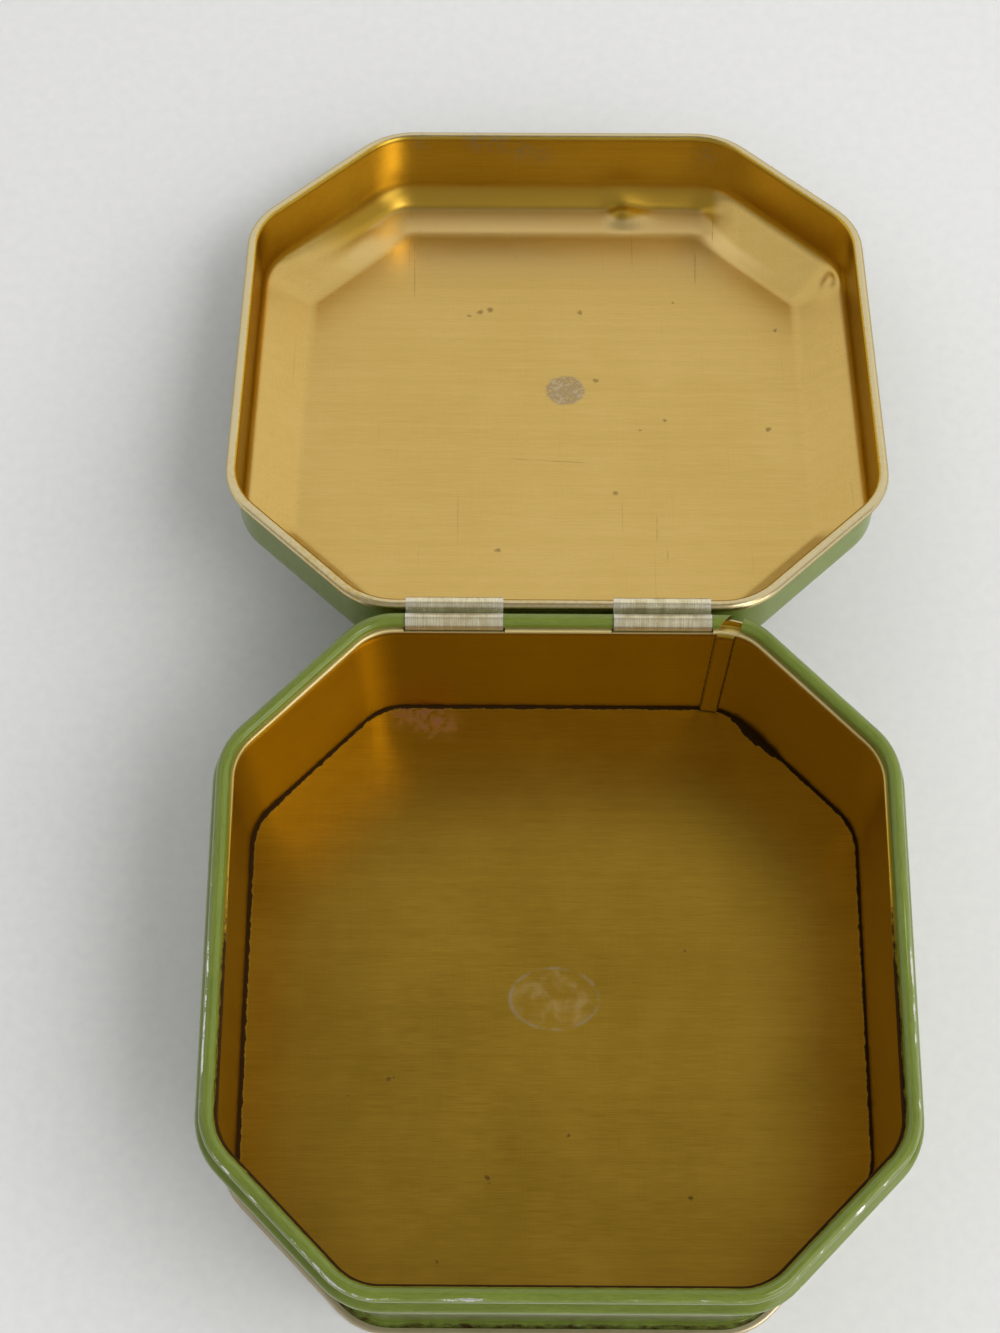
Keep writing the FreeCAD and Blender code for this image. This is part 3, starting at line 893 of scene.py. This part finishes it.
lid_line = bent_line([(border_in[0] - 2.5, border_in[1]), border_in, shoulder, (skirt_out, lid_slot)],
                     [1.1, 1.7], 8)
slope_start, slope_end = lid_line[border_points - 1:border_points + 1]
slope = slope_start + (slope_end - slope_start) * np.linspace(0, 1, 13)[1:-1, None]
skirt_run = np.column_stack([np.full(8, skirt_out), np.linspace(8.0, lid_slot, 8)])
lid_line = np.vstack([lid_line[:border_points], slope, lid_line[border_points:-1], skirt_run])
lid_left, lid_right = faces_of(lid_line, sheet_thick)
lid_rings = np.linspace(0.02, 0.985, 26)
grid, quads, caps = round_disc(lid_left, lid_right, lid_rings)
rings = len(lid_rings)
columns = grid.shape[1]
on_right = (np.arange(len(grid)) >= rings + len(lid_left)).astype(float)
up = down_rows(lid_left[0, 1], lid_left[:, 1], lid_right[:, 1], rings)
outward = down_rows(disc_middle, lid_left[:, 0], lid_right[:, 0], rings)
crest = hump(up - shoulder[1] - 0.1, 0.8) * (outward > 0)
share = (shoulder[0] - lid_line[:, 0]) / (shoulder[0] - border_in[0])
share = down_rows(share[0], share, share, rings)[:, None]
lid_parts = [lid_part(grid, quads, caps, share, inside=np.repeat(on_right, columns), wear=0.0,
                      dirt=np.repeat(crest, columns))]


def curl(start, sweep, steps):
    """The rim's round, from one angle through the sweep, about the middle that the hinge turns on."""
    angle = np.radians(np.linspace(start, start + sweep, steps))
    return np.stack([rim_out + rim_round * np.cos(angle), rim_round * np.sin(angle)], -1)


def rim_wear(outward, up, inside, backward):
    """The lacquer is rubbed off the curl, from just above the skirt to its outside, least by the hinge."""
    return np.clip((outward - 1.5) / 0.5, 0, 1) * (1 - inside) * (0.95 - 0.1 * backward)


skirt_edge = np.vstack([np.column_stack([np.full(5, skirt_out), np.linspace(lid_slot, 0.1, 5)]),
                        curl(180, curl_wrap, 30)])
bare_curl = curl(180 + curl_opening, curl_wrap - curl_opening, 26)
places = slot_places + [slot_places[0] + plan_length]
for line, start, end in zip([bare_curl, skirt_edge, bare_curl, skirt_edge], places, places[1:]):
    rim = bent_sheet(line, span(start, end), False, wear=rim_wear)
    lid_parts.append(lid_part(rim["points"], rim["quads"], (), 0.0, inside=1 - rim["inside"],
                              wear=rim["wear"], dirt=0.0))
lid = add_piece("lid_finish", lid_parts, lid_finish())
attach(lid, "lid")
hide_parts("lid")

# Floor, light and camera: a pale matt table, a broad soft window from the right with two weaker lamps,
# and a dim room, seen from above and in front with the angle and frame of the reference picture.
table_reach = 4.0
table_gap = 0.00005
table_light = (0.74, 0.745, 0.75, 1)
table_deep = (0.70, 0.71, 0.72, 1)
floor_mesh = bpy.data.meshes.new("pale_table")
table_corners = ((-1, -1), (1, -1), (1, 1), (-1, 1))
table_points = [(x * table_reach, y * table_reach, -table_gap) for x, y in table_corners]
floor_mesh.from_pydata(table_points, [], [(0, 1, 2, 3)])
floor = bpy.data.objects.new("pale_table", floor_mesh)
bpy.context.scene.collection.objects.link(floor)
table = bpy.data.materials.new("pale_table")
table.use_nodes = True
table_place = Socket(table.node_tree).node("ShaderNodeTexCoord", {}, {}, "Object")
tooth = table_place.vector("MULTIPLY", (1 / MM, 1 / MM, 1 / MM)).noise((0.5, 0.5, 0.5), 4.0)
tooth.feed(table.node_tree.nodes["Principled BSDF"],
           {"Base Color": tooth.ramp(0.2, 0.8).mix(table_deep, table_light), "Roughness": 0.75,
            "Normal": tooth.bump(0.12, 0.2)})
floor_mesh.materials.append(table)

# The room's brightness by direction: lighter round a dark place overhead, beside it, in a corner and in
# front, with the window's pane and a lower one that the metal mirrors.
world = bpy.data.worlds.new("room")
bpy.context.scene.world = world
world.use_nodes = True
room = Socket(world.node_tree)
side, back, above = room.node("ShaderNodeTexCoord", {}, {}, "Generated").axes()
across = (side + 0.05) * 0.75
along = back - 0.15
from_top = room.sum("SQRT", across * across + along * along)
around = from_top.ramp(0.15, 0.38) * back.ramp(-0.3, 0.15)
beside = side.ramp(0.18, 0.5) * above.ramp(0.55, 0.8)
corner = side.ramp(0.2, 0.7) * back.ramp(0.4, 0.8)
in_front = back.ramp(-0.1, -0.35)
pane = (side * 0.45 - back * 0.42 + above * 0.79).ramp(0.9816, 0.9945)
low_pane = (side * 0.72 - back * 0.65 + above * 0.24).ramp(0.90, 0.97)
bright = 0.215 + around.either(beside) * 0.60 + corner * 0.15 + in_front * 0.15
bright = bright + pane * 4.0 + low_pane * 1.8
room.feed(world.node_tree.nodes["Background"], {"Color": (1.0, 0.985, 0.96, 1), "Strength": bright})

# Each lamp has a name, a width and length, a power, a colour, a place and the degrees that it is turned.
lamps = (("window", (0.9, 0.7), 6.6, (1.0, 0.98, 0.95), (0.75, -0.12, 0.90), (8, 40, 0)),
         ("fill", (1.0, 1.0), 0.7, (1.0, 1.0, 1.0), (-0.85, -0.25, 0.85), (15, -45, 0)),
         ("front", (1.0, 1.0), 2.2, (1.0, 1.0, 1.0), (0.15, -1.0, 0.55), (62, 0, 0)))
for name, size, power, colour, place, turned in lamps:
    lamp_data = bpy.data.lights.new(name, "AREA")
    lamp_data.shape = "RECTANGLE"
    lamp_data.size, lamp_data.size_y = size
    lamp_data.energy = power
    lamp_data.color = colour
    lamp = bpy.data.objects.new(name, lamp_data)
    lamp.location = place
    lamp.rotation_euler = np.radians(turned)
    lamp.visible_glossy = False
    bpy.context.scene.collection.objects.link(lamp)

frame_height = 1333
lens_pixels = 2298.0
camera_data = bpy.data.cameras.new("camera")
camera_data.sensor_fit = "VERTICAL"
camera_data.sensor_height = 36
camera_data.lens = lens_pixels / frame_height * camera_data.sensor_height
camera = bpy.data.objects.new("camera", camera_data)
camera.location = (-0.00713, -0.08173, 0.36039)
camera.rotation_euler = np.radians((21.015, 0.152, 0.372))
bpy.context.scene.collection.objects.link(camera)
bpy.context.scene.camera = camera
bpy.context.scene.view_settings.view_transform = "Standard"
